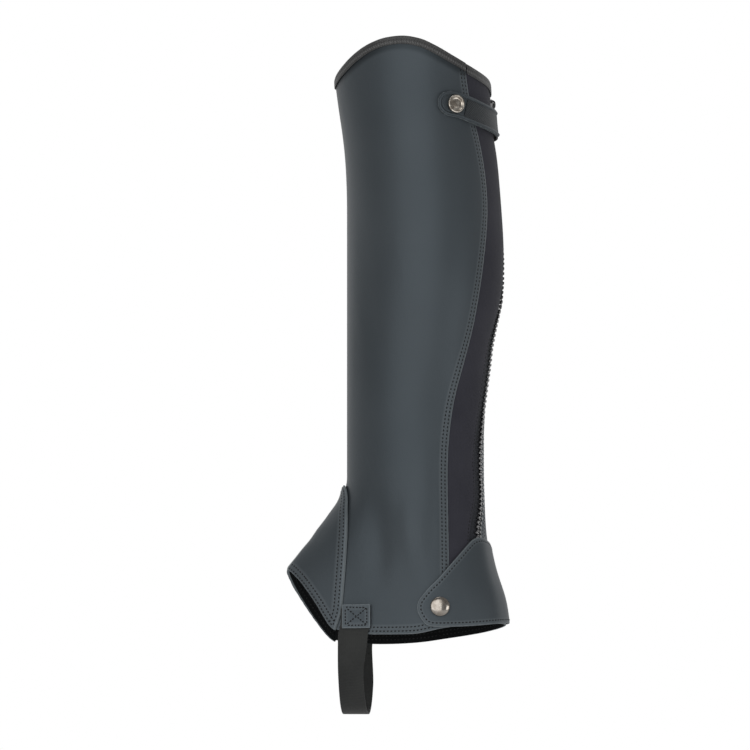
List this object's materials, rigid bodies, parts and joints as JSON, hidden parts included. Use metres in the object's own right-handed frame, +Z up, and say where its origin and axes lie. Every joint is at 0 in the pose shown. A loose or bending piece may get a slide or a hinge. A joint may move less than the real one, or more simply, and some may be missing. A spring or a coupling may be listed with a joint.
{
  "type": "riding half chap",
  "caption": "Left leather half chap with an arched top, a stretch calf panel, a rear zip, a snap tab, an ankle flap and an elastic under-boot strap, filled out to a leg's form.",
  "frame": {"origin": "on the leg's axis at the level of the fullest part of the calf, where the wearer's leg holds the chap", "axes": "+Z up the leg, -Y towards the shin, +X towards the leg's outer side"},
  "size_m": [0.1191, 0.1674, 0.5006],
  "materials": {
    "leather": "satin",
    "stretch_fabric": "matt",
    "zip_tape": "matt",
    "leatherette": "matt",
    "moulded_teeth": "gloss",
    "lacquered_metal": "gloss",
    "elastic": "matt",
    "bright_nickel": "polished",
    "antique_nickel": "satin"
  },
  "bodies": {
    "chap": {"ankle_flap": "leather", "ankle_snap": "bright_nickel", "boot_strap": "elastic", "main_panel": "leather", "strap_patch_inner": "leather", "strap_patch_outer": "leather", "stretch_binding": "elastic", "stretch_panel": "stretch_fabric", "tab_elastic": "elastic", "tab_inset": "leatherette", "tab_leather": "leather", "tab_patch": "leather", "tab_snap": "antique_nickel", "top_binding": "elastic", "vamp_gusset": "leather", "zip_chain": "moulded_teeth", "zip_slider": "lacquered_metal", "zip_tape_inner": "zip_tape", "zip_tape_outer": "zip_tape"},
    "pull": {"zip_pull": "lacquered_metal"}
  },
  "joints": [
    {"name": "pull_swing", "type": "hinge", "parent": "chap", "child": "pull", "pos_m": [-0.02276, 0.05057, 0.1166], "axis": [0.9395, 0.3426, 0], "range_deg": [0, 150]}
  ]
}
